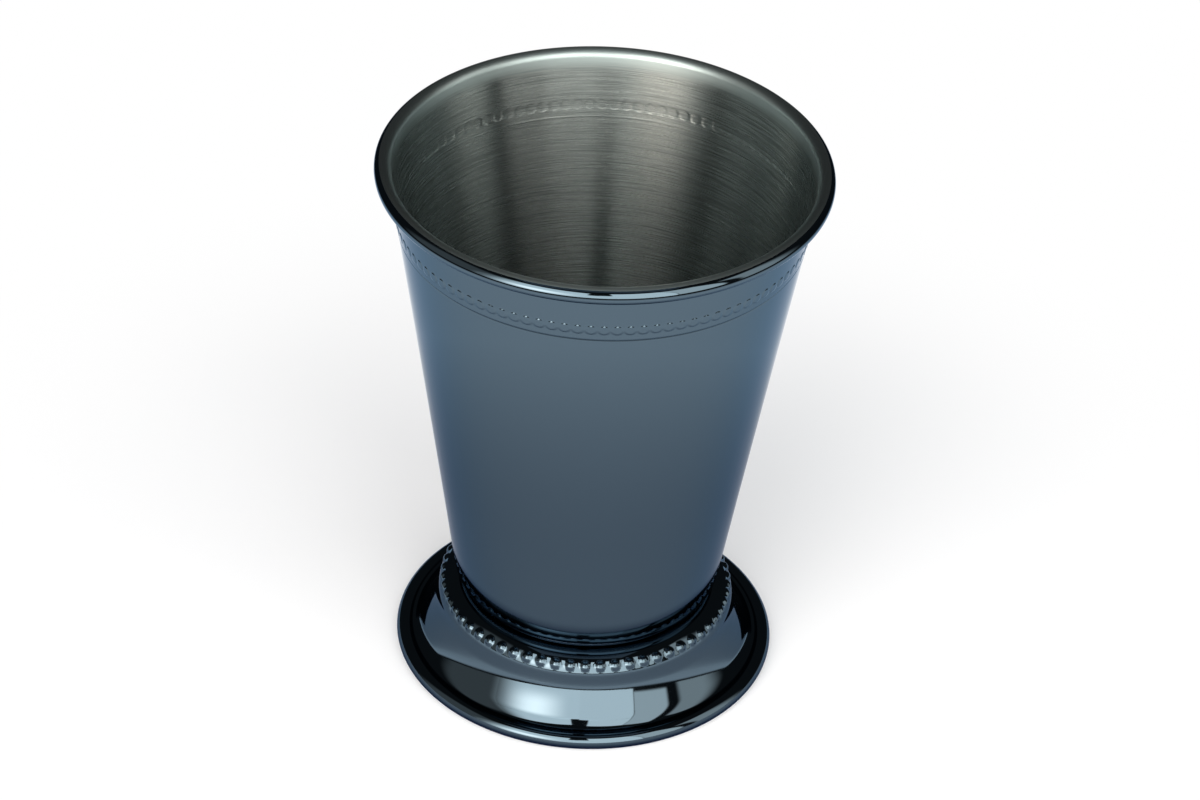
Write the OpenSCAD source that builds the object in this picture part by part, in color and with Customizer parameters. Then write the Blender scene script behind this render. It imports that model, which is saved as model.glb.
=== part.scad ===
// Julep cup: a tapered drinking cup of thin sheet metal, soldered to a spun foot.
// Millimetres, +Z up, origin on the axis in the plane that the foot rests on.

/* [Cup] */
// Diameter over the curled rim
rim_d = 90; // [84:0.5:110]
// Height from the table to the top of the rim
cup_h = 116.4; // [100:0.2:140]
// Diameter of the wall where it starts to turn into the floor
heel_d = 54.7; // [48:0.1:56]
// Outer radius of the turn from the wall to the floor
heel_r = 4; // [2:0.1:5]
// How far the wall draws in at mid height from a straight taper
waist = 0.2; // [0:0.02:1]
// Thickness of the cup's drawn sheet
wall_t = 0.75; // [0.5:0.05:1]
// Diameter of the rim's roll
curl_d = 3.35; // [2.6:0.05:5]

/* [Band under the rim] */
// Diameter of one bead pressed into the wall
band_bead_d = 2.26; // [1.6:0.02:4]
// How far a band bead stands out of the wall
band_bead_h = 0.2; // [0.2:0.02:0.5]
// Least space between two band beads
band_bead_gap = 0.24; // [0.1:0.02:1]
// Depth of the band beads' centres below the top of the rim
band_drop = 11.4; // [9:0.2:20]
// Distance from the band beads' centres down to the pressed line
line_drop = 2.6; // [2.4:0.1:6]
// Width of the pressed line
line_w = 0.4; // [0.4:0.05:1.2]
// Depth of the pressed line
line_h = 0.1; // [0.1:0.02:0.4]

/* [Foot] */
// Diameter over the foot's curled edge
foot_d = 77.9; // [72:0.1:90]
// Height of the ledge that carries the cup
ledge_h = 16.5; // [14:0.1:22]
// Thickness of the foot's spun sheet
foot_t = 0.7; // [0.5:0.05:0.9]
// Diameter of the hole in the ledge, under the cup's floor
ledge_hole_d = 34; // [20:1:42]
// Radius of the round shoulder in which the ledge turns down
shoulder_r = 4.7; // [3:0.1:6]
// Lean from upright of the neck, where the shoulder ends
neck_lean = 5; // [0:1:12]
// Radius of the hollow curve under the neck
neck_r = 10; // [6:0.5:12]
// Lean of the bell from upright where that curve ends
bell_lean = 19.5; // [14:0.5:24]
// Lean of the bell from upright where it starts to turn out
bell_turn = 31; // [26:1:36]
// Radius of the curve that turns the bell out towards the trough
bell_foot_r = 6; // [3:0.25:8]
// Lean from upright that the bell has turned out to at its end, in degrees
bell_end = 54; // [40:1:65]
// Radius of the crease between the bell and the trough
crease_r = 0.3; // [0.2:0.05:0.6]
// Height of the trough's upper face
trough_h = 2.75; // [2.4:0.05:3]
// Flat width of the trough
trough_w = 0.45; // [0.3:0.05:1.5]
// Diameter of the curled edge's roll
foot_curl_d = 3.6; // [3.4:0.05:4]
// How much the roll is flattened where it rests
foot_flat = 0.15; // [0.1:0.01:0.3]

/* [Beads on the foot] */
// Diameter of one bead pressed into the shoulder
foot_bead_d = 2.1; // [1.6:0.05:3]
// How far a foot bead stands out of the shoulder
foot_bead_h = 0.5; // [0.4:0.02:0.8]
// Least space between two foot beads
foot_bead_gap = 0.93; // [0.15:0.01:1.2]
// How far the foot's beads face up from level, in degrees
foot_bead_lean = 37; // [30:1:50]

/* [Joint] */
// Thickness of the solder between the cup's floor and the ledge
solder_t = 0.1; // [0.06:0.02:0.2]

/* [Hidden] */

// Facets of a full turn and of one bead, and steps along the curved stretches of an outline
turn_fn = 180;
bead_fn = 32;
wall_steps = 16;
heel_steps = 8;
curl_steps = 30;
shoulder_steps = 14;
neck_steps = 6;
bell_steps = 8;
turn_steps = 8;
crease_steps = 4;

// Share of a full turn that each roll is curled through
rim_curl_share = 0.8;
foot_curl_share = 0.766;
// Share of a bead's diameter that its hollow back has
hollow_share = 0.74;
// Share of the sheet's thickness that a bead is rooted in
root_share = 0.3;
// Share of the heel's turn that the solder's fillet climbs
fillet_share = 0.25;

// Points of an arc about [x, z], from angle a to angle b
function arc(x, z, r, a, b, steps) =
    [for (i = [0:steps]) let (u = a + (b - a) * i / steps) [x + r * cos(u), z + r * sin(u)]];

// A list without its first point, which the stretch before it ends on
function after_first(points) = [for (i = [1:len(points) - 1]) points[i]];

function unit(v) = v / norm(v);

// A path moved sideways by t to its right, with mitred corners
function moved(path, t) =
    let (last = len(path) - 1)
    [for (i = [0:last])
        let (
            before = unit(path[max(i, 1)] - path[max(i, 1) - 1]),
            after = unit(path[min(i + 1, last)] - path[min(i + 1, last) - 1]),
            middle = unit(before + after)
        )
        path[i] + [middle[1], -middle[0]] * t / (middle * before)
    ];

// The outline of a sheet between a path and the same path moved
function sheet(path, back) = concat(path, [for (i = [len(back) - 1:-1:0]) back[i]]);

// Radius of the ball that a bead of diameter d and height h is cut from
function ball_r(d, h) = (d * d / 4 + h * h) / (2 * h);

// A low dome of diameter d and height h, on a root that reaches back into the sheet
module dome(d, h, root) {
    intersection() {
        translate([0, 0, h - ball_r(d, h)])
            sphere(r = ball_r(d, h), $fn = bead_fn);
        translate([0, 0, -root])
            cylinder(d = d, h = h + root, $fn = bead_fn);
    }
}

// Children set round the axis at radius r and height z, turned to face outwards and down by lean
module round_axis(count, r, z, lean) {
    for (i = [0:count - 1])
        rotate([0, 0, 360 * i / count])
            translate([r, 0, z])
                rotate([0, 90 + lean, 0])
                    children();
}

// The cup's inner face runs from the axis along the floor, round the heel, up the wall and over the roll
floor_z = ledge_h + solder_t + wall_t;
inner_heel_r = heel_r - wall_t;
heel_z = floor_z + inner_heel_r;
curl_r = curl_d / 2;
curl_x = rim_d / 2 - curl_r;
curl_z = cup_h - curl_r;
wall_low_r = heel_d / 2 - wall_t;
wall_rise = curl_z - heel_z;
low_lean = atan((curl_x - curl_r - wall_low_r - 4 * waist) / wall_rise);
top_lean = atan((curl_x - curl_r - wall_low_r + 4 * waist) / wall_rise);
heel_x = wall_low_r - inner_heel_r * cos(low_lean);
wall_low_z = heel_z - inner_heel_r * sin(low_lean);
wall_top_r = curl_x - curl_r * cos(top_lean);
wall_top_z = curl_z + curl_r * sin(top_lean);

// Share of the wall's height, radius of its inner face and its lean from upright at height z
function wall_share(z) = (z - wall_low_z) / (wall_top_z - wall_low_z);
function wall_r(z) =
    let (u = wall_share(z))
    wall_low_r + (wall_top_r - wall_low_r) * u - 4 * waist * u * (1 - u);
function wall_lean(z) =
    atan((wall_top_r - wall_low_r - 4 * waist * (1 - 2 * wall_share(z))) / (wall_top_z - wall_low_z));
function wall_path(z_from, z_to, steps) =
    [for (i = [0:steps]) let (z = z_from + (z_to - z_from) * i / steps) [wall_r(z), z]];

band_z = cup_h - band_drop;
line_z = band_z - line_drop;

cup_face = concat(
    [[0, floor_z]],
    arc(heel_x, heel_z, inner_heel_r, -90, -low_lean, heel_steps),
    after_first(wall_path(wall_low_z, line_z - line_w / 2, wall_steps)),
    [[wall_r(line_z) - line_h, line_z]],
    wall_path(line_z + line_w / 2, wall_top_z, wall_steps / 4),
    after_first(arc(curl_x, curl_z, curl_r, 180 - top_lean, 180 - top_lean - 360 * rim_curl_share, curl_steps))
);
cup_back = moved(cup_face, wall_t);

band_lean = wall_lean(band_z);
band_r = wall_r(band_z) + wall_t / cos(band_lean);
band_count = floor(PI * 2 * band_r / (band_bead_d + band_bead_gap));

module cup_shell() {
    color("slategray")
        difference() {
            union() {
                rotate_extrude($fn = turn_fn)
                    polygon(sheet(cup_face, cup_back));
                round_axis(band_count, band_r, band_z, band_lean)
                    dome(band_bead_d, band_bead_h, wall_t * root_share);
            }
            round_axis(band_count, wall_r(band_z), band_z, band_lean)
                dome(band_bead_d * hollow_share, band_bead_h, wall_t * root_share);
        }
}

// The foot's roll starts where the trough's upper face meets it
foot_curl_r = foot_curl_d / 2;
foot_curl_x = foot_d / 2 - foot_curl_r;
foot_curl_z = foot_curl_r - foot_flat;
curl_start = 180 - asin((trough_h - foot_curl_z) / foot_curl_r);

// From there the foot is worked out inwards: the crease, the curve that turns the bell out, and the bell
crease_x = foot_curl_x + foot_curl_r * cos(curl_start) - trough_w;
crease_z = trough_h + crease_r;
turn_x = crease_x + (bell_foot_r - crease_r) * cos(bell_end);
turn_z = crease_z + (bell_foot_r - crease_r) * sin(bell_end);
shoulder_z = ledge_h - shoulder_r;
neck_z = shoulder_z + (shoulder_r + neck_r) * sin(neck_lean);

// The bell's long curve fills the height between the neck's curve and the turn
bell_rise = (neck_z - neck_r * sin(bell_lean)) - (turn_z - bell_foot_r * sin(bell_turn));
bell_r = bell_rise / (sin(bell_turn) - sin(bell_lean));
bell_x = turn_x + (bell_r - bell_foot_r) * cos(bell_turn);
bell_z = turn_z + (bell_r - bell_foot_r) * sin(bell_turn);
neck_x = bell_x - (bell_r - neck_r) * cos(bell_lean);
shoulder_x = neck_x - (shoulder_r + neck_r) * cos(neck_lean);

// The foot's upper face runs from the hole along the ledge, down the shoulder and the bell, and over the roll
foot_face = concat(
    [[ledge_hole_d / 2, ledge_h]],
    arc(shoulder_x, shoulder_z, shoulder_r, 90, neck_lean, shoulder_steps),
    after_first(arc(neck_x, neck_z, neck_r, 180 + neck_lean, 180 + bell_lean, neck_steps)),
    after_first(arc(bell_x, bell_z, bell_r, 180 + bell_lean, 180 + bell_turn, bell_steps)),
    after_first(arc(turn_x, turn_z, bell_foot_r, 180 + bell_turn, 180 + bell_end, turn_steps)),
    after_first(arc(crease_x, crease_z, crease_r, 180 + bell_end, 270, crease_steps)),
    arc(foot_curl_x, foot_curl_z, foot_curl_r, curl_start, curl_start - 360 * foot_curl_share, curl_steps)
);

// The foot's beads stand on the round shoulder
foot_bead_r = shoulder_x + shoulder_r * cos(foot_bead_lean);
foot_bead_z = shoulder_z + shoulder_r * sin(foot_bead_lean);
foot_bead_count = floor(PI * 2 * foot_bead_r / (foot_bead_d + foot_bead_gap));
foot_hollow_r = foot_bead_r - foot_t * cos(foot_bead_lean);
foot_hollow_z = foot_bead_z - foot_t * sin(foot_bead_lean);

module foot_shell() {
    color("darkslategray")
        difference() {
            union() {
                rotate_extrude($fn = turn_fn)
                    polygon(sheet(foot_face, moved(foot_face, foot_t)));
                round_axis(foot_bead_count, foot_bead_r, foot_bead_z, -foot_bead_lean)
                    dome(foot_bead_d, foot_bead_h, foot_t * root_share);
            }
            round_axis(foot_bead_count, foot_hollow_r, foot_hollow_z, -foot_bead_lean)
                dome(foot_bead_d * hollow_share, foot_bead_h, foot_t * root_share);
            translate([0, 0, -foot_curl_d])
                cylinder(d = foot_d, h = foot_curl_d, $fn = turn_fn);
        }
}

// The solder is a film between the floor and the ledge that ends in a small fillet under the heel
fillet_steps = round(heel_steps * fillet_share);
under_heel = [for (i = [1:1 + fillet_steps]) cup_back[i]];
fillet_r = under_heel[fillet_steps][0];

module solder_ring() {
    color("lightgray")
        rotate_extrude($fn = turn_fn)
            polygon(concat([[ledge_hole_d / 2, ledge_h], [ledge_hole_d / 2, ledge_h + solder_t]],
                under_heel, [[fillet_r, ledge_h]]));
}

cup_shell();
foot_shell();
solder_ring();
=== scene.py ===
import math
import bpy
import numpy as np
from mathutils import Matrix, Vector


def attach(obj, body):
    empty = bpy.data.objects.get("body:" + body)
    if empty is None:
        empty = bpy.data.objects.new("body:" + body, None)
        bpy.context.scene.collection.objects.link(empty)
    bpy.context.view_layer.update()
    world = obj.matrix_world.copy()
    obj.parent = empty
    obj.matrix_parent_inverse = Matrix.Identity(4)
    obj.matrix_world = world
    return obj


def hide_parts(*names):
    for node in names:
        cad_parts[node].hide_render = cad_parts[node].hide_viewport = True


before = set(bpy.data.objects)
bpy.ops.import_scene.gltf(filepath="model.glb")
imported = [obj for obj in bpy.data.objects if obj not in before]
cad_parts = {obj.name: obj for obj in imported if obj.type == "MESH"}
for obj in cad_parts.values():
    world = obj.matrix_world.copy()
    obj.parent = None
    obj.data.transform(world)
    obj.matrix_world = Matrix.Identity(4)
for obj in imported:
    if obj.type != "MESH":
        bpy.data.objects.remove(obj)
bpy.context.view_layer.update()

print("frame loaded:", ", ".join(sorted(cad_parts)))

# A plated julep cup on a white table, seen from above as the photograph sees it.
# Sizes in the dictionaries are millimetres unless a name says degrees, share or count.
mm = 0.001


# Colours are written as sRGB hex and turned linear here: each channel v becomes
# v / 12.92 under 0.04045 and ((v + 0.055) / 1.055) ** 2.4 above it.
def linear(hexColour, alpha=1.0):
    channels = [int(hexColour[i:i + 2], 16) / 255 for i in (1, 3, 5)]
    return [c / 12.92 if c <= 0.04045 else ((c + 0.055) / 1.055) ** 2.4 for c in channels] + [alpha]


# Adds one shader node: settings are its properties, values its socket constants, links its input sockets.
def addNode(tree, kind, settings=None, values=None, links=None):
    node = tree.nodes.new(kind)
    for name, value in (settings or {}).items():
        setattr(node, name, value)
    for name, value in (values or {}).items():
        node.inputs[name].default_value = value
    for name, source in (links or {}).items():
        tree.links.new(source, node.inputs[name])
    return node


# An empty material and its node tree, for a function that builds one finish
def newMaterial(name):
    material = bpy.data.materials.new(name)
    material.use_nodes = True
    material.node_tree.nodes.clear()
    return material, material.node_tree


# Outline helpers. An outline is an array of [radius, height] points in millimetres.

# The points x + r cos a, z + r sin a, from one angle to another, in degrees
def arcPoints(x, z, r, fromDegrees, toDegrees, count):
    a = np.radians(np.linspace(fromDegrees, toDegrees, count + 1))
    return np.column_stack([x + r * np.cos(a), z + r * np.sin(a)])


# The unit normal on the right of each point: the mean direction d of its two segments, turned to (dz, -dr),
# and longer at a corner by one over the cosine of half the turn, so that a moved outline keeps its
# thickness
def rightNormals(outline):
    segments = np.diff(outline, axis=0)
    segments /= np.linalg.norm(segments, axis=1)[:, None]
    before = np.vstack([segments[:1], segments])
    after = np.vstack([segments, segments[-1:]])
    middle = before + after
    middle /= np.linalg.norm(middle, axis=1)[:, None]
    stretch = 1 / np.sum(middle * before, axis=1)
    return np.column_stack([middle[:, 1], -middle[:, 0]]) * stretch[:, None]


# Marks an outline's two ends and the points where it has turned by another stepDegrees
def thinned(outline, stepDegrees):
    segments = np.diff(outline, axis=0)
    turns = np.abs(np.diff(np.unwrap(np.arctan2(segments[:, 1], segments[:, 0]))))
    steps = np.floor(np.concatenate([[0], np.cumsum(turns)]) / math.radians(stepDegrees))
    return np.concatenate([[True], np.diff(steps) > 0, [True]])


# Height of a domed bead at distance d from its centre: a cap of the ball with R = (s^2 + h^2) / 2h, s half
# its size
def domeHeight(d, size, height):
    ball = ((size / 2) ** 2 + height ** 2) / (2 * height)
    return np.where(d < size / 2, np.sqrt(np.maximum(ball ** 2 - d ** 2, 0)) - (ball - height), 0.0)


# Height of a flat-topped bead: h inside, and h (1 - u) over its sloped edge, where u goes from 0 to 1
# outwards
def buttonHeight(d, size, height, edgeWidth):
    return height * (1 - np.clip((d - size / 2 + edgeWidth) / edgeWidth, 0, 1))


# Carries a closed outline once round the axis: point (r, z) at angle a goes to (r cos a, r sin a, z).
# lift(a, r, z) moves each point along its own direction before that. An end on the axis becomes one pole.
def revolved(name, outline, columns, lift=None, moveAlong=None, sharpDegrees=60):
    onAxis = outline[:, 0] < 1e-6
    ring = outline[~onAxis]
    a = np.linspace(0, 2 * np.pi, columns, endpoint=False)
    r = np.repeat(ring[:, :1], columns, axis=1)
    z = np.repeat(ring[:, 1:], columns, axis=1)
    if lift is not None:
        up = lift(a[None, :], r, z)
        along = moveAlong[~onAxis]
        r = r + up * along[:, :1]
        z = z + up * along[:, 1:]
    points = np.stack([r * np.cos(a), r * np.sin(a), z], axis=2).reshape(-1, 3)
    rows = len(ring)
    hasPoles = onAxis.any()
    i = np.arange(rows - 1 if hasPoles else rows)
    j = np.arange(columns)
    here = (i[:, None] * columns + j[None, :]).ravel()
    right = (i[:, None] * columns + (j[None, :] + 1) % columns).ravel()
    below = (((i + 1) % rows)[:, None] * columns + j[None, :]).ravel()
    belowRight = (((i + 1) % rows)[:, None] * columns + (j[None, :] + 1) % columns).ravel()
    faces = np.column_stack([here, below, belowRight, right]).tolist()
    if hasPoles:
        poles = outline[onAxis]
        first, last = len(points), len(points) + 1
        points = np.vstack([points, [[0, 0, poles[0, 1]], [0, 0, poles[-1, 1]]]])
        nextColumn = (j + 1) % columns
        faces += np.column_stack([np.full(columns, first), j, nextColumn]).tolist()
        end = (rows - 1) * columns
        faces += np.column_stack([end + j, np.full(columns, last), end + nextColumn]).tolist()
    mesh = bpy.data.meshes.new(name)
    mesh.from_pydata((points * mm).tolist(), [], faces)
    mesh.validate()
    mesh.polygons.foreach_set("use_smooth", np.ones(len(mesh.polygons), bool))
    mesh.set_sharp_from_angle(angle=math.radians(sharpDegrees))
    mesh.update()
    piece = bpy.data.objects.new(name, mesh)
    bpy.context.scene.collection.objects.link(piece)
    return piece


# How far a solid reaches, in millimetres: the largest sqrt(x^2 + y^2) and the largest z of its points
def nodeReach(node):
    count = len(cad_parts[node].data.vertices)
    flat = np.empty(count * 3, np.float32)
    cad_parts[node].data.vertices.foreach_get("co", flat)
    points = flat.reshape(-1, 3) / mm
    return float(np.hypot(points[:, 0], points[:, 1]).max()), float(points[:, 2].max())


rimRadius, cupTop = nodeReach("cup_shell")
footRadius, ledgeHeight = nodeReach("foot_shell")

# The cup: a drawn sheet with a pressed bead band. Its sizes are its solid's, but its beads and line are
# shallower, because polished metal shows even these strongly.
cupSizes = {
    "sheet": 0.75,
    "solder": 0.1,
    "heelRadius": 4.0,
    "heelDiameter": 54.7,
    "waist": 0.2,
    "rollDiameter": 3.35,
    "rollTurnDegrees": 288,
    "bandDrop": 11.4,
    "beadSize": 2.26,
    "beadHeight": 0.12,
    "beadEdgeWidth": 0.16,
    "insideShare": 0.4,
    "beadCount": 102,
    "lineDrop": 2.6,
    "lineWidth": 0.5,
    "lineDepth": 0.08,
    "platingEdgeDegrees": 72,
    "columnsPerBead": 10,
    "heelSteps": 8,
    "wallSteps": 9,
    "lipSteps": 3,
    "rollSteps": 30,
    "seamStepDegrees": 14,
    "rollBackStepDegrees": 24,
    "sharpDegrees": 25,
}
# Rows of points across the band, as distances past a bead's edge. They are close together where the edge
# slopes.
bandRowDistances = np.array([0.4, 0.12, 0.0, -0.08, -0.16, -0.26, -0.45, -0.68, -0.9])
# Rows of points across the line, as shares of half its width from its middle
lineRowShares = np.array([-1.5, -1.0, -0.5, 0.0, 0.5, 1.0, 1.5, 2.0])


# The sheet's inner face, from the middle of the floor to the end of the rim's roll: a flat floor, the
# heel's arc, the wall and the roll's arc. The arcs start and end at the wall's own lean there, atan(change
# of radius / change of height), so they meet it without a corner. Returned with it are the index of the
# roll's point where the plating begins, the height of the beads' centres and the wall's radius as a
# function of height.
def cupOutline():
    s = cupSizes
    t = s["sheet"]
    roll = s["rollDiameter"] / 2
    rollX, rollZ = rimRadius - roll, cupTop - roll
    floorZ = ledgeHeight + s["solder"] + t
    heel = s["heelRadius"] - t
    heelZ = floorZ + heel
    lowR = s["heelDiameter"] / 2 - t
    rise = rollZ - heelZ
    lowLean = math.atan((rollX - roll - lowR - 4 * s["waist"]) / rise)
    topLean = math.atan((rollX - roll - lowR + 4 * s["waist"]) / rise)
    lowZ = heelZ - heel * math.sin(lowLean)
    topR = rollX - roll * math.cos(topLean)
    topZ = rollZ + roll * math.sin(topLean)

    # The wall's inner radius: a straight taper less a parabola that is the waist deep at mid height
    def wall(z):
        u = (z - lowZ) / (topZ - lowZ)
        return lowR + (topR - lowR) * u - 4 * s["waist"] * u * (1 - u)

    bandZ = cupTop - s["bandDrop"]
    lineZ = bandZ - s["lineDrop"]
    halfRows = s["beadSize"] / 2 + bandRowDistances
    z = np.concatenate([
        np.linspace(lowZ, lineZ - s["lineWidth"], s["wallSteps"] + 1)[1:],
        lineZ + s["lineWidth"] / 2 * lineRowShares,
        bandZ - halfRows,
        bandZ + halfRows[::-1],
        np.linspace(bandZ + halfRows[0], topZ, s["lipSteps"] + 1)[1:],
    ])
    wallPoints = np.column_stack([wall(z), z])
    heelPoints = arcPoints(
        lowR - heel * math.cos(lowLean), heelZ, heel, -90, -math.degrees(lowLean), s["heelSteps"])
    rollFrom = 180 - math.degrees(topLean)
    rollPoints = arcPoints(rollX, rollZ, roll, rollFrom, rollFrom - s["rollTurnDegrees"], s["rollSteps"])
    floorPoints = [[0, floorZ], [heelPoints[0, 0] / 2, floorZ]]
    face = np.vstack([floorPoints, heelPoints, wallPoints, rollPoints[1:]])
    angles = np.degrees(np.arctan2(face[:, 1] - rollZ, face[:, 0] - rollX))
    onRoll = np.arange(len(face)) >= len(face) - s["rollSteps"]
    edge = int(np.argmax(onRoll & (angles < s["platingEdgeDegrees"])))
    return face, edge, bandZ, wall


cupFace, platingEdge, bandHeight, wallRadius = cupOutline()
cupNormals = rightNormals(cupFace)
slope = (wallRadius(bandHeight + 1) - wallRadius(bandHeight - 1)) / 2


# Each bead of the band lifts the sheet by buttonHeight(d), where d runs along the wall and round it, and
# the line under them sinks it by depth cos^2(pi (z - line) / width). The press left less of both on the
# inside.
def bandLift(a, r, z):
    s = cupSizes
    pitch = 2 * np.pi / s["beadCount"]
    around = (np.mod(a + pitch / 2, pitch) - pitch / 2) * (wallRadius(bandHeight) + s["sheet"])
    along = (z - bandHeight) * math.hypot(1, slope)
    onWall = r > wallRadius(z) - s["lineDepth"] - s["sheet"]
    lift = buttonHeight(np.hypot(around, along), s["beadSize"], s["beadHeight"], s["beadEdgeWidth"])
    fromLine = np.clip((z - bandHeight + s["lineDrop"]) / s["lineWidth"], -0.5, 0.5)
    lift = lift - s["lineDepth"] * np.cos(np.pi * fromLine) ** 2
    isInside = r < wallRadius(z) + s["sheet"] / 4
    return np.where(onWall, lift * np.where(isInside, s["insideShare"], 1), 0)


# The two finishes are one sheet, so their meshes meet in the middle of it, a hair apart and with few points
halfShare = 0.5
seamShare = 0.01
cupColumns = cupSizes["beadCount"] * cupSizes["columnsPerBead"]
steelEnd = platingEdge + 1
seamPoints = thinned(cupFace[:steelEnd], cupSizes["seamStepDegrees"])


# The face moved into the sheet: each point plus its normal times a share of the thickness
def atDepth(share):
    return cupFace + cupNormals * cupSizes["sheet"] * share


steelRing = np.vstack([cupFace[:steelEnd], atDepth(halfShare - seamShare)[:steelEnd][seamPoints][::-1]])
steelNormals = np.vstack([cupNormals[:steelEnd], 0 * cupNormals[:steelEnd][seamPoints]])
cupInside = revolved("cup_inside", steelRing, cupColumns, bandLift, steelNormals, cupSizes["sharpDegrees"])

# The plated mesh runs along the seam, round the rest of the roll's face and home along the sheet's back
rollStart = len(cupFace) - cupSizes["rollSteps"]
rollBack = thinned(cupFace[rollStart:], cupSizes["rollBackStepDegrees"])
cupBack = atDepth(1)
platedRing = np.vstack([
    atDepth(halfShare)[:steelEnd][seamPoints], cupFace[platingEdge:], cupBack[rollStart:][rollBack][::-1],
    cupBack[:rollStart][::-1],
])
platedNormals = np.vstack([
    0 * cupNormals[:steelEnd][seamPoints], cupNormals[platingEdge:], cupNormals[rollStart:][rollBack][::-1],
    cupNormals[:rollStart][::-1],
])
cupOutside = revolved(
    "cup_outside", platedRing, cupColumns, bandLift, platedNormals, cupSizes["sharpDegrees"])
print("cup made:", len(cupInside.data.polygons), "and", len(cupOutside.data.polygons), "faces")

# The foot: one spun sheet with a ledge, a round beaded shoulder, a flaring bell and a curled edge
footSizes = {
    "sheet": 0.7,
    "holeDiameter": 34.0,
    "shoulderRadius": 4.7,
    "neckLeanDegrees": 5.0,
    "neckRadius": 10.0,
    "bellLeanDegrees": 19.5,
    "bellTurnDegrees": 31.0,
    "bellFootRadius": 6.0,
    "bellEndDegrees": 54.0,
    "creaseRadius": 0.3,
    "troughHeight": 2.75,
    "troughWidth": 0.45,
    "rollDiameter": 3.6,
    "rollTurnDegrees": 275.8,
    "rollFlat": 0.15,
    "beadLeanDegrees": 37.0,
    "beadSize": 2.1,
    "beadHeight": 0.5,
    "beadCount": 61,
    "columnsPerBead": 10,
    "faceStepsPerMm": 3.8,
    "backStepsPerMm": 1.8,
}


# The outer face of the foot's sheet, worked out inwards from the roll: the flat trough, the crease, the
# bell's turn, its long curve, the hollow curve under the neck and the round shoulder. Each is an arc that
# leaves the one before at the same angle, so the next centre lies on the line through both, at the sum or
# difference of their radii. Returned with it is the centre of a bead, on the shoulder's arc.
def footOutline(stepsPerMm):
    s = footSizes
    neckLean, bellLean, bellTurn, bellEnd = (
        s[k] for k in ("neckLeanDegrees", "bellLeanDegrees", "bellTurnDegrees", "bellEndDegrees"))

    # Sine and cosine of an angle in degrees
    def sine(degrees):
        return math.sin(math.radians(degrees))

    def cosine(degrees):
        return math.cos(math.radians(degrees))

    # An arc with stepsPerMm points for each mm of its length, degrees / 360 * 2 pi r
    def stretch(x, z, r, fromDegrees, toDegrees):
        count = max(3, round(stepsPerMm * abs(toDegrees - fromDegrees) / 360 * 2 * math.pi * r))
        return arcPoints(x, z, r, fromDegrees, toDegrees, count)

    roll, crease = s["rollDiameter"] / 2, s["creaseRadius"]
    turn, neck = s["bellFootRadius"], s["neckRadius"]
    rollX, rollZ = footRadius - roll, roll - s["rollFlat"]
    rollFrom = 180 - math.degrees(math.asin((s["troughHeight"] - rollZ) / roll))
    creaseX = rollX + roll * cosine(rollFrom) - s["troughWidth"]
    creaseZ = s["troughHeight"] + crease
    turnX, turnZ = creaseX + (turn - crease) * cosine(bellEnd), creaseZ + (turn - crease) * sine(bellEnd)
    shoulder = s["shoulderRadius"]
    shoulderZ = ledgeHeight - shoulder
    neckZ = shoulderZ + (shoulder + neck) * sine(neckLean)
    bellRise = neckZ - neck * sine(bellLean) - turnZ + turn * sine(bellTurn)
    bell = bellRise / (sine(bellTurn) - sine(bellLean))
    bellX, bellZ = turnX + (bell - turn) * cosine(bellTurn), turnZ + (bell - turn) * sine(bellTurn)
    neckX = bellX - (bell - neck) * cosine(bellLean)
    shoulderX = neckX - (shoulder + neck) * cosine(neckLean)
    face = np.vstack([
        [[s["holeDiameter"] / 2, ledgeHeight]],
        stretch(shoulderX, shoulderZ, shoulder, 90, neckLean),
        stretch(neckX, neckZ, neck, 180 + neckLean, 180 + bellLean)[1:],
        stretch(bellX, bellZ, bell, 180 + bellLean, 180 + bellTurn)[1:],
        stretch(turnX, turnZ, turn, 180 + bellTurn, 180 + bellEnd)[1:],
        stretch(creaseX, creaseZ, crease, 180 + bellEnd, 270)[1:],
        stretch(rollX, rollZ, roll, rollFrom, rollFrom - s["rollTurnDegrees"]),
    ])
    lean = s["beadLeanDegrees"]
    return face, np.array([shoulderX + shoulder * cosine(lean), shoulderZ + shoulder * sine(lean)])


# The back of the sheet is hidden, so it has fewer points than the face
footFace, footBeadCentre = footOutline(footSizes["faceStepsPerMm"])
coarseFace, _ = footOutline(footSizes["backStepsPerMm"])
footNormals, coarseNormals = rightNormals(footFace), rightNormals(coarseFace)
footBack = coarseFace + coarseNormals * footSizes["sheet"]


# Each bead of the shoulder lifts the sheet by domeHeight(d), where d runs along the shoulder and round it.
# The beads stand out on the other side from the sheet's right normals, so the lift is negative.
def shoulderLift(a, r, z):
    s = footSizes
    lean = math.radians(s["beadLeanDegrees"])
    pitch = 2 * np.pi / s["beadCount"]
    around = (np.mod(a + pitch / 2, pitch) - pitch / 2) * footBeadCentre[0]
    along = (z - footBeadCentre[1]) * math.cos(lean) - (r - footBeadCentre[0]) * math.sin(lean)
    near = np.hypot(z - footBeadCentre[1], r - footBeadCentre[0]) < s["beadSize"]
    return np.where(near, -domeHeight(np.hypot(around, along), s["beadSize"], s["beadHeight"]), 0)


# The roll is flattened where it rests: no point lies under the table's height of zero
footProfile = np.vstack([footFace, footBack[::-1]])
footProfile[:, 1] = np.maximum(footProfile[:, 1], 0)
footPiece = revolved("foot_spun", footProfile, footSizes["beadCount"] * footSizes["columnsPerBead"],
                     shoulderLift, np.vstack([footNormals, coarseNormals[::-1]]))
print("foot made:", len(footPiece.data.polygons), "faces")

# The solder: a film under the floor with a small hollow fillet under the heel
solderSizes = {"filletSteps": 3, "filletHollow": 0.06, "columns": 240}


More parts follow.
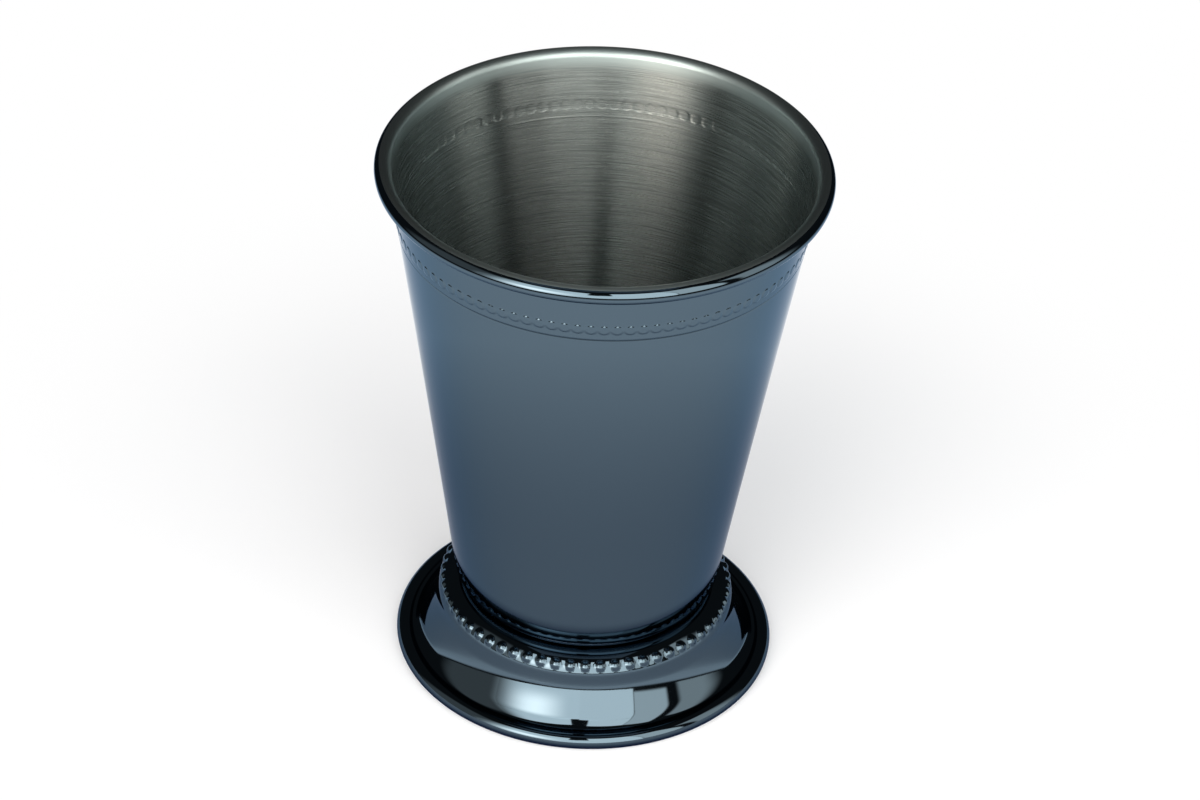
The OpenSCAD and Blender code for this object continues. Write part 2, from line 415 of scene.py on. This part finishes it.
# From the foot's hole out under the cup's floor, up the first steps of the heel's underside, back down to
# the ledge past a point that is pulled in by filletHollow, and home along the ledge
def solderOutline():
    heelStart = 2  # after the floor's two points
    underside = cupBack[heelStart:heelStart + solderSizes["filletSteps"]]
    hole = footSizes["holeDiameter"] / 2
    fillet = underside[-1]
    foot = np.array([fillet[0], ledgeHeight])
    return np.vstack([
        [[hole, ledgeHeight + cupSizes["solder"]]], underside,
        [[fillet[0] - solderSizes["filletHollow"], (fillet[1] + foot[1]) / 2]],
        [foot], [[hole, ledgeHeight]],
    ])


solderPiece = revolved("solder_film", solderOutline(), solderSizes["columns"])
print("solder made:", len(solderPiece.data.polygons), "faces")

# Finishes

plateLooks = {
    "colour": "#50606C",
    "grazingColour": "#BFCCDC",
    "roughness": (0.03, 0.06),
    "smudgeSize": 14.0,
    "smudgeRange": (0.35, 0.7),
    "waveSize": 9.0,
    "waveDepth": 0.002,
}


# Black nickel plated over polished steel: a slightly blue mirror that gives back about a tenth of the light
# head on and far more at a glancing angle. Handling leaves faint smudges, and buffing very shallow waves.
def blackNickelPlate():
    material, tree = newMaterial("black_nickel_plate")
    at = addNode(tree, "ShaderNodeTexCoord").outputs["Object"]
    smudge = addNode(tree, "ShaderNodeTexNoise", values={
        "Scale": 1 / (plateLooks["smudgeSize"] * mm), "Detail": 4.0, "Roughness": 0.55},
        links={"Vector": at})
    clean, smudged = plateLooks["smudgeRange"]
    low, high = plateLooks["roughness"]
    rough = addNode(tree, "ShaderNodeMapRange", values={
        "From Min": clean, "From Max": smudged, "To Min": low, "To Max": high},
        links={"Value": smudge.outputs["Fac"]})
    wave = addNode(tree, "ShaderNodeTexNoise", values={
        "Scale": 1 / (plateLooks["waveSize"] * mm), "Detail": 1.0}, links={"Vector": at})
    bump = addNode(tree, "ShaderNodeBump", values={
        "Strength": 1.0, "Distance": plateLooks["waveDepth"] * mm}, links={"Height": wave.outputs["Fac"]})
    shader = addNode(tree, "ShaderNodeBsdfPrincipled", values={
        "Base Color": linear(plateLooks["colour"]), "Metallic": 1.0,
        "Specular Tint": linear(plateLooks["grazingColour"])},
        links={"Roughness": rough.outputs["Result"], "Normal": bump.outputs["Normal"]})
    addNode(tree, "ShaderNodeOutputMaterial", links={"Surface": shader.outputs["BSDF"]})
    return material


brushLooks = {
    "colour": "#AEB8B9",
    "darkColour": "#5C6466",
    "lipColour": "#A6B5B8",
    "lipDepth": 4.5,
    "roughness": (0.33, 0.24),
    "lipRoughness": 0.4,
    "anisotropy": (1.0, 0.5),
    "wallSlope": 6.0,
    "lineSpacing": 0.22,
    "lineRange": (0.3, 0.68),
    "lineLength": 16.0,
    "lineDepth": 0.001,
}


# Bare stainless steel brushed as the cup spun: fine lines round the axis, which smear highlights up and
# down, so the tangent that they are drawn out along is the unit vector outwards plus the wall's slope times
# up. The lines are noise on (angle, radius, height) that is long round the axis and short up the wall. Real
# ones are too fine to show in the picture, so they are drawn about 0.2 mm apart.
def brushedSteel():
    material, tree = newMaterial("brushed_steel")
    at = addNode(tree, "ShaderNodeTexCoord").outputs["Object"]
    split = addNode(tree, "ShaderNodeSeparateXYZ", links={"Vector": at})
    turn = addNode(tree, "ShaderNodeMath", {"operation": "ARCTAN2"})
    tree.links.new(split.outputs["Y"], turn.inputs[0])
    tree.links.new(split.outputs["X"], turn.inputs[1])
    flat = addNode(tree, "ShaderNodeCombineXYZ", links={"X": split.outputs["X"], "Y": split.outputs["Y"]})
    radius = addNode(tree, "ShaderNodeVectorMath", {"operation": "LENGTH"})
    tree.links.new(flat.outputs["Vector"], radius.inputs[0])
    arcShare = rimRadius / brushLooks["lineLength"]
    upShare = 1 / (brushLooks["lineSpacing"] * mm)
    along = addNode(tree, "ShaderNodeMath", {"operation": "MULTIPLY"})
    tree.links.new(turn.outputs["Value"], along.inputs[0])
    along.inputs[1].default_value = arcShare
    up = addNode(tree, "ShaderNodeMath", {"operation": "MULTIPLY"})
    tree.links.new(split.outputs["Z"], up.inputs[0])
    up.inputs[1].default_value = upShare
    out = addNode(tree, "ShaderNodeMath", {"operation": "MULTIPLY"})
    tree.links.new(radius.outputs["Value"], out.inputs[0])
    out.inputs[1].default_value = upShare
    grain = addNode(tree, "ShaderNodeCombineXYZ",
                    links={"X": along.outputs["Value"], "Y": up.outputs["Value"], "Z": out.outputs["Value"]})
    lines = addNode(tree, "ShaderNodeTexNoise", values={"Scale": 1.0, "Detail": 4.0, "Roughness": 0.75},
                    links={"Vector": grain.outputs["Vector"]})
    darkest, brightest = brushLooks["lineRange"]
    bright = addNode(tree, "ShaderNodeMapRange", values={"From Min": darkest, "From Max": brightest},
                     links={"Value": lines.outputs["Fac"]})
    low, high = brushLooks["roughness"]
    wallRough = addNode(tree, "ShaderNodeMapRange", values={"To Min": low, "To Max": high},
                        links={"Value": bright.outputs["Result"]})
    wallColour = addNode(tree, "ShaderNodeMix", {"data_type": "RGBA"})
    tree.links.new(bright.outputs["Result"], wallColour.inputs["Factor"])
    wallColour.inputs[6].default_value = linear(brushLooks["darkColour"])
    wallColour.inputs[7].default_value = linear(brushLooks["colour"])
    # The lip is buffed: over the last few mm up to its roll it has one even colour, and it spreads highlights
    # more evenly in all directions
    lip = addNode(tree, "ShaderNodeMapRange", {"interpolation_type": "SMOOTHSTEP"}, values={
        "From Min": (cupTop - brushLooks["lipDepth"]) * mm,
        "From Max": (cupTop - cupSizes["rollDiameter"] / 2) * mm}, links={"Value": split.outputs["Z"]})
    rough = addNode(tree, "ShaderNodeMix", {"data_type": "FLOAT"})
    tree.links.new(lip.outputs["Result"], rough.inputs["Factor"])
    tree.links.new(wallRough.outputs["Result"], rough.inputs[2])
    rough.inputs[3].default_value = brushLooks["lipRoughness"]
    colour = addNode(tree, "ShaderNodeMix", {"data_type": "RGBA"})
    tree.links.new(lip.outputs["Result"], colour.inputs["Factor"])
    tree.links.new(wallColour.outputs[2], colour.inputs[6])
    colour.inputs[7].default_value = linear(brushLooks["lipColour"])
    wallSmear, lipSmear = brushLooks["anisotropy"]
    smear = addNode(tree, "ShaderNodeMapRange", values={"To Min": wallSmear, "To Max": lipSmear},
                    links={"Value": lip.outputs["Result"]})
    bump = addNode(tree, "ShaderNodeBump", values={
        "Strength": 1.0, "Distance": brushLooks["lineDepth"] * mm}, links={"Height": lines.outputs["Fac"]})
    outward = addNode(tree, "ShaderNodeVectorMath", {"operation": "NORMALIZE"})
    tree.links.new(flat.outputs["Vector"], outward.inputs[0])
    tangent = addNode(tree, "ShaderNodeVectorMath", {"operation": "ADD"})
    tree.links.new(outward.outputs["Vector"], tangent.inputs[0])
    tangent.inputs[1].default_value = (0, 0, brushLooks["wallSlope"])
    shader = addNode(tree, "ShaderNodeBsdfPrincipled", values={"Metallic": 1.0}, links={
        "Base Color": colour.outputs[2], "Roughness": rough.outputs[0],
        "Anisotropic": smear.outputs["Result"], "Tangent": tangent.outputs["Vector"],
        "Normal": bump.outputs["Normal"]})
    addNode(tree, "ShaderNodeOutputMaterial", links={"Surface": shader.outputs["BSDF"]})
    return material


solderLooks = {"colour": "#3A4857", "grainSize": 0.4, "roughness": (0.2, 0.35)}


# Tin solder that was plated over with the rest of the cup: the same black nickel on a slightly grainy
# ground
def platedSolder():
    material, tree = newMaterial("plated_solder")
    at = addNode(tree, "ShaderNodeTexCoord").outputs["Object"]
    grain = addNode(tree, "ShaderNodeTexNoise", values={
        "Scale": 1 / (solderLooks["grainSize"] * mm), "Detail": 3.0}, links={"Vector": at})
    low, high = solderLooks["roughness"]
    rough = addNode(tree, "ShaderNodeMapRange", values={"To Min": low, "To Max": high},
                    links={"Value": grain.outputs["Fac"]})
    shader = addNode(tree, "ShaderNodeBsdfPrincipled", values={
        "Base Color": linear(solderLooks["colour"]), "Metallic": 1.0,
        "Specular Tint": linear(plateLooks["grazingColour"])}, links={"Roughness": rough.outputs["Result"]})
    addNode(tree, "ShaderNodeOutputMaterial", links={"Surface": shader.outputs["BSDF"]})
    return material


plate, brushed, solder = blackNickelPlate(), brushedSteel(), platedSolder()
for piece, material, slot, node in (
    (cupOutside, plate, "black_nickel_plate", "cup_shell"),
    (cupInside, brushed, "brushed_steel", "cup_shell"),
    (footPiece, plate, "black_nickel_plate", "foot_shell"),
    (solderPiece, solder, "solder", "solder_ring"),
):
    piece.data.materials.append(material)
    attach(piece, "root")
    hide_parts(node)
for node, material in (("cup_shell", plate), ("foot_shell", plate), ("solder_ring", solder)):
    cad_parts[node].data.materials.clear()
    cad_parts[node].data.materials.append(material)
print("finishes set")

# The table, the room and the lamps

stageSizes = {
    "tableSize": 30000,
    "tableColour": "#E2E7EF",
    "tableRoughness": 0.6,
    "tableSpecular": 0.2,
    "tableLift": 0.2,
    "nearRadius": 60,
    "farRadius": 180,
    # Painted shade: the share, colour and distances of the dark blue glow that the metal shows on the table
    # near the foot
    "shadeFrom": 38,
    "shadeTo": 43,
    "paintedShadeColour": "#1C3A6B",
    "shadeShare": 0.42,
    "farGlow": 1.3,
    "carpetRadius": 200,
    "carpetFullRadius": 420,
    "carpetHeight": 1,
    "carpetGlow": 0.03,
    "drapeRadius": 4000,
    "drapeGlow": 0.03,
    "ambient": 0.3,
}


# One for rays that show the background, camera + glossy + transmission held at one at most, and zero for
# the rest
def backgroundRay(tree):
    path = addNode(tree, "ShaderNodeLightPath")
    total = addNode(tree, "ShaderNodeMath", {"operation": "ADD"})
    tree.links.new(path.outputs["Is Camera Ray"], total.inputs[0])
    tree.links.new(path.outputs["Is Glossy Ray"], total.inputs[1])
    both = addNode(tree, "ShaderNodeMath", {"operation": "ADD", "use_clamp": True})
    tree.links.new(total.outputs["Value"], both.inputs[0])
    tree.links.new(path.outputs["Is Transmission Ray"], both.inputs[1])
    return both.outputs["Value"]


# White table: plain paint near the cup, where it takes the shadow, and white out to the horizon. The share
# of white is the smoothstep of (distance - near) / (far - near). The rays that show the background add a
# little white to the paint.
def makeTable():
    half = stageSizes["tableSize"] / 2 * mm
    mesh = bpy.data.meshes.new("table")
    corners = [(-half, -half, 0), (half, -half, 0), (half, half, 0), (-half, half, 0)]
    mesh.from_pydata(corners, [], [(0, 1, 2, 3)])
    table = bpy.data.objects.new("table", mesh)
    bpy.context.scene.collection.objects.link(table)
    material, tree = newMaterial("white_table")
    at = addNode(tree, "ShaderNodeTexCoord").outputs["Object"]
    distance = addNode(tree, "ShaderNodeVectorMath", {"operation": "LENGTH"})
    tree.links.new(at, distance.inputs[0])
    background = backgroundRay(tree)
    far = addNode(tree, "ShaderNodeMapRange", {"interpolation_type": "SMOOTHSTEP"}, values={
        "From Min": stageSizes["nearRadius"] * mm, "From Max": stageSizes["farRadius"] * mm},
        links={"Value": distance.outputs["Value"]})
    seen = addNode(tree, "ShaderNodeMath", {"operation": "MULTIPLY"})
    tree.links.new(far.outputs["Result"], seen.inputs[0])
    tree.links.new(background, seen.inputs[1])
    lift = addNode(tree, "ShaderNodeMath", {"operation": "MULTIPLY"})
    tree.links.new(background, lift.inputs[0])
    lift.inputs[1].default_value = stageSizes["tableLift"]
    paint = addNode(tree, "ShaderNodeBsdfPrincipled", values={
        "Base Color": linear(stageSizes["tableColour"]), "Roughness": stageSizes["tableRoughness"],
        "Specular IOR Level": stageSizes["tableSpecular"], "Emission Color": (1, 1, 1, 1)},
        links={"Emission Strength": lift.outputs["Value"]})
    isGlossy = addNode(tree, "ShaderNodeLightPath").outputs["Is Glossy Ray"]
    glow = addNode(tree, "ShaderNodeMapRange", values={"To Min": 1.0, "To Max": stageSizes["farGlow"]},
                   links={"Value": isGlossy})
    white = addNode(tree, "ShaderNodeEmission", values={"Color": (1, 1, 1, 1)},
                    links={"Strength": glow.outputs["Result"]})
    mix = addNode(tree, "ShaderNodeMixShader", links={0: seen.outputs["Value"]})
    tree.links.new(paint.outputs["BSDF"], mix.inputs[1])
    tree.links.new(white.outputs["Emission"], mix.inputs[2])
    # Painted shade: in the metal, the table near the cup is mixed with a dark blue glow, so it is darker
    # there than the camera sees it, and it is all glow close under the foot
    under = addNode(tree, "ShaderNodeMapRange", {"interpolation_type": "SMOOTHSTEP"}, values={
        "From Min": stageSizes["shadeTo"] * mm, "From Max": stageSizes["shadeFrom"] * mm,
        "To Min": stageSizes["shadeShare"]}, links={"Value": distance.outputs["Value"]})
    close = addNode(tree, "ShaderNodeMath", {"operation": "SUBTRACT", "use_clamp": True})
    tree.links.new(under.outputs["Result"], close.inputs[0])
    tree.links.new(far.outputs["Result"], close.inputs[1])
    mirrored = addNode(tree, "ShaderNodeMath", {"operation": "MULTIPLY"})
    tree.links.new(close.outputs["Value"], mirrored.inputs[0])
    tree.links.new(isGlossy, mirrored.inputs[1])
    paintedShade = addNode(tree, "ShaderNodeEmission", values={
        "Color": linear(stageSizes["paintedShadeColour"]), "Strength": 1.0})
    shaded = addNode(tree, "ShaderNodeMixShader", links={0: mirrored.outputs["Value"]})
    tree.links.new(mix.outputs["Shader"], shaded.inputs[1])
    tree.links.new(paintedShade.outputs["Emission"], shaded.inputs[2])
    addNode(tree, "ShaderNodeOutputMaterial", links={"Surface": shaded.outputs["Shader"]})
    table.data.materials.append(material)


# A ring-shaped surface round the axis through [radius, height] points, dark, that only the metal shows. It
# grows from clear to opaque between two distances from the axis, by a smoothstep.
def makeDarkRing(name, outline, glow, clearTo=0, opaqueFrom=1):
    sides = 64
    outline = np.array(outline, float)
    a = np.linspace(0, 2 * np.pi, sides, endpoint=False)
    points = np.stack([outline[:, :1] * np.cos(a), outline[:, :1] * np.sin(a),
                       np.repeat(outline[:, 1:], sides, axis=1)], axis=2)
    i, j = np.meshgrid(np.arange(len(outline) - 1), np.arange(sides), indexing="ij")
    near, far = i * sides, (i + 1) * sides
    faces = np.stack([near + j, near + (j + 1) % sides, far + (j + 1) % sides, far + j], axis=2)
    mesh = bpy.data.meshes.new(name)
    mesh.from_pydata((points.reshape(-1, 3) * mm).tolist(), [], faces.reshape(-1, 4).tolist())
    ring = bpy.data.objects.new(name, mesh)
    bpy.context.scene.collection.objects.link(ring)
    material, tree = newMaterial(name + "_cloth")
    cloth = addNode(tree, "ShaderNodeEmission", values={"Color": (1, 1, 1, 1), "Strength": glow})
    clear = addNode(tree, "ShaderNodeBsdfTransparent")
    distance = addNode(tree, "ShaderNodeVectorMath", {"operation": "LENGTH"})
    tree.links.new(addNode(tree, "ShaderNodeTexCoord").outputs["Object"], distance.inputs[0])
    opaque = addNode(tree, "ShaderNodeMapRange", {"interpolation_type": "SMOOTHSTEP"}, values={
        "From Min": clearTo * mm, "From Max": opaqueFrom * mm}, links={"Value": distance.outputs["Value"]})
    mix = addNode(tree, "ShaderNodeMixShader", links={0: opaque.outputs["Result"]})
    tree.links.new(clear.outputs["BSDF"], mix.inputs[1])
    tree.links.new(cloth.outputs["Emission"], mix.inputs[2])
    addNode(tree, "ShaderNodeOutputMaterial", links={"Surface": mix.outputs["Shader"]})
    ring.data.materials.append(material)
    ring.visible_camera = False
    ring.visible_diffuse = False
    ring.visible_shadow = False


# Beyond the white table the studio is dark: a carpet round it and drapes behind the lamps
def makeStudio():
    reach = stageSizes["drapeRadius"]
    makeDarkRing("dark_carpet", [[stageSizes["carpetRadius"], stageSizes["carpetHeight"]],
                                 [reach, stageSizes["carpetHeight"]]], stageSizes["carpetGlow"],
                 stageSizes["carpetRadius"], stageSizes["carpetFullRadius"])
    makeDarkRing("dark_drapes", [[reach, 0], [reach, reach], [1, reach]], stageSizes["drapeGlow"])


# The room's strength is ambient + (1 - ambient) * background: white where it shows, and dim as light
def makeWorld():
    world = bpy.data.worlds.new("studio")
    world.use_nodes = True
    tree = world.node_tree
    tree.nodes.clear()
    strength = addNode(tree, "ShaderNodeMapRange", values={
        "To Min": stageSizes["ambient"], "To Max": 1.0}, links={"Value": backgroundRay(tree)})
    light = addNode(tree, "ShaderNodeBackground", values={"Color": (1, 1, 1, 1)},
                    links={"Strength": strength.outputs["Result"]})
    addNode(tree, "ShaderNodeOutputWorld", links={"Surface": light.outputs["Background"]})
    bpy.context.scene.world = world


# Soft boxes stand upright round the table, each across a range of azimuths and up a range of elevations,
# in degrees as seen from the cup. Azimuth 0 is in front, and to the right is positive. Edges are the
# shares of a box's width and height over which its left, right, lower and upper edges fade.
softBoxes = {
    "left_low": {"across": (-62, 0), "up": (0.2, 34), "radiance": 4.3, "edges": (0.45, 0, 0, 0)},
    "left_top": {"across": (-62, -5), "up": (34, 57), "radiance": 4.3, "edges": (0.45, 0.02, 0, 0.1)},
    "left_hot": {"across": (-52, -6), "up": (0.2, 36), "radiance": 5.1, "edges": (0.5, 0.5, 0.35, 0.5),
                 "colour": (1.0, 0.79, 0.64)},
    "right_low": {"across": (0, 36), "up": (0.2, 34), "radiance": 4.1, "edges": (0, 0.03, 0, 0)},
    "right_top": {"across": (6, 36), "up": (34, 57), "radiance": 4.1, "edges": (0.03, 0.03, 0, 0.1)},
    "right_end": {"across": (36, 60), "up": (1.5, 57), "radiance": 2.7, "edges": (0, 0.12, 0.03, 0.1)},
    "side_box": {"across": (65, 104), "up": (0.2, 50), "radiance": 1.5, "edges": (0.12, 0.5, 0, 0.1)},
    "left_wall": {"across": (-104, -56), "up": (0.2, 57), "radiance": 0.3, "edges": (0.3, 0, 0, 0.3)},
}
# Colours of lamps are shares of red, green and blue light
boxColour = (1.0, 0.94, 0.85)
lampDistance = 1400
ceiling = {"height": 2000, "width": 1400, "up": (73, 93), "radiance": 0.25, "colour": (0.75, 0.87, 1.0)}


# A lamp's brightness falls off smoothly over a share of its width or height at its left, right, lower and
# upper edge: the product of smoothsteps of u / left, (1 - u) / right, v / lower and (1 - v) / upper
def softenEdges(lamp, edges):
    lamp.use_nodes = True
    tree = lamp.node_tree
    tree.nodes.clear()
    at = addNode(tree, "ShaderNodeNewGeometry").outputs["Parametric"]
    split = addNode(tree, "ShaderNodeSeparateXYZ", links={"Vector": at})
    strength = None
    for axis, atStart, atEnd in (("X", edges[0], edges[1]), ("Y", edges[2], edges[3])):
        for edge, start, end in ((atStart, 0.0, atStart), (atEnd, 1.0, 1.0 - atEnd)):
            if edge == 0:
                continue
            fall = addNode(tree, "ShaderNodeMapRange", {"interpolation_type": "SMOOTHSTEP"},
                           {"From Min": start, "From Max": end}, {"Value": split.outputs[axis]})
            if strength is None:
                strength = fall.outputs["Result"]
                continue
            product = addNode(tree, "ShaderNodeMath", {"operation": "MULTIPLY"})
            tree.links.new(strength, product.inputs[0])
            tree.links.new(fall.outputs["Result"], product.inputs[1])
            strength = product.outputs["Value"]
    glow = addNode(tree, "ShaderNodeEmission", links={"Strength": strength})
    addNode(tree, "ShaderNodeOutputLight", links={"Surface": glow.outputs["Emission"]})


# A flat lamp at place that faces aim. With area A and radiance L it gives off pi A L watts.
def makeLamp(name, place, aim, width, height, radiance, colour, edges=None):
    lamp = bpy.data.lights.new(name, "AREA")
    lamp.shape = "RECTANGLE"
    lamp.size, lamp.size_y = width * mm, height * mm
    lamp.energy = math.pi * lamp.size * lamp.size_y * radiance
    lamp.color = colour
    if edges:
        softenEdges(lamp, edges)
    lampObject = bpy.data.objects.new(name, lamp)
    lampObject.location = place * mm
    lampObject.rotation_euler = (aim - place).to_track_quat("-Z", "Y").to_euler()
    bpy.context.scene.collection.objects.link(lampObject)


# A soft box at lampDistance d across an azimuth range w is 2 d tan(w / 2) wide, and reaches from d
# tan(low) to d tan(high) above the table. The ceiling panel reaches from -h / tan(high) to -h / tan(low)
# along Y.
def makeLamps():
    for name, box in softBoxes.items():
        start, end = box["across"]
        a = math.radians((start + end) / 2)
        width = 2 * lampDistance * math.tan(math.radians(end - start) / 2)
        low, high = (lampDistance * math.tan(math.radians(angle)) for angle in box["up"])
        place = Vector((math.sin(a) * lampDistance, -math.cos(a) * lampDistance, (low + high) / 2))
        makeLamp(name, place, Vector((0, 0, place.z)), width, high - low, box["radiance"],
                 box.get("colour", boxColour), box["edges"])
    far, near = (-ceiling["height"] / math.tan(math.radians(angle)) for angle in ceiling["up"])
    place = Vector((0, (near + far) / 2, ceiling["height"]))
    makeLamp("ceiling_panel", place, place - Vector((0, 0, 1)), ceiling["width"], near - far,
             ceiling["radiance"], ceiling["colour"])


makeTable()
makeStudio()
makeWorld()
makeLamps()
print("studio set")

# The camera stands where the photograph's outlines put it
cameraSizes = {
    "distance": 947.79,
    "elevationDegrees": 38.504,
    "panDegrees": 0.074,
    "tiltDegrees": 2.943,
    "rollDegrees": 2.714,
    "lens": 135.66,
    "sensor": 36.0,
}


# Two axes turned in their own plane by an angle t: a cos t + b sin t and b cos t - a sin t
def turnedPair(a, b, t):
    return a * math.cos(t) + b * math.sin(t), b * math.cos(t) - a * math.sin(t)


# The camera stands at the point (0, -d cos e, d sin e) and looks at the middle of the foot, then its axes
# are turned in pairs by the pan, the tilt and the roll
def makeCamera():
    s = cameraSizes
    e = math.radians(s["elevationDegrees"])
    pan, tilt, roll = (math.radians(s[k]) for k in ("panDegrees", "tiltDegrees", "rollDegrees"))
    place = Vector((0, -math.cos(e), math.sin(e))) * s["distance"] * mm
    ahead, right = Vector((0, math.cos(e), -math.sin(e))), Vector((1, 0, 0))
    up = right.cross(ahead)
    ahead, right = turnedPair(ahead, right, pan)
    ahead, up = turnedPair(ahead, up, tilt)
    right, up = turnedPair(right, up, roll)
    lens = bpy.data.cameras.new("camera")
    lens.lens, lens.sensor_width, lens.sensor_fit = s["lens"], s["sensor"], "HORIZONTAL"
    lens.clip_start, lens.clip_end = 0.01, 100
    camera = bpy.data.objects.new("camera", lens)
    turned = Matrix((right, up, -ahead)).transposed().to_4x4()
    camera.matrix_world = Matrix.Translation(place) @ turned
    bpy.context.scene.collection.objects.link(camera)
    bpy.context.scene.camera = camera


makeCamera()
bpy.context.scene.view_settings.view_transform = "Standard"
print("camera set")

bpy.context.view_layer.update()
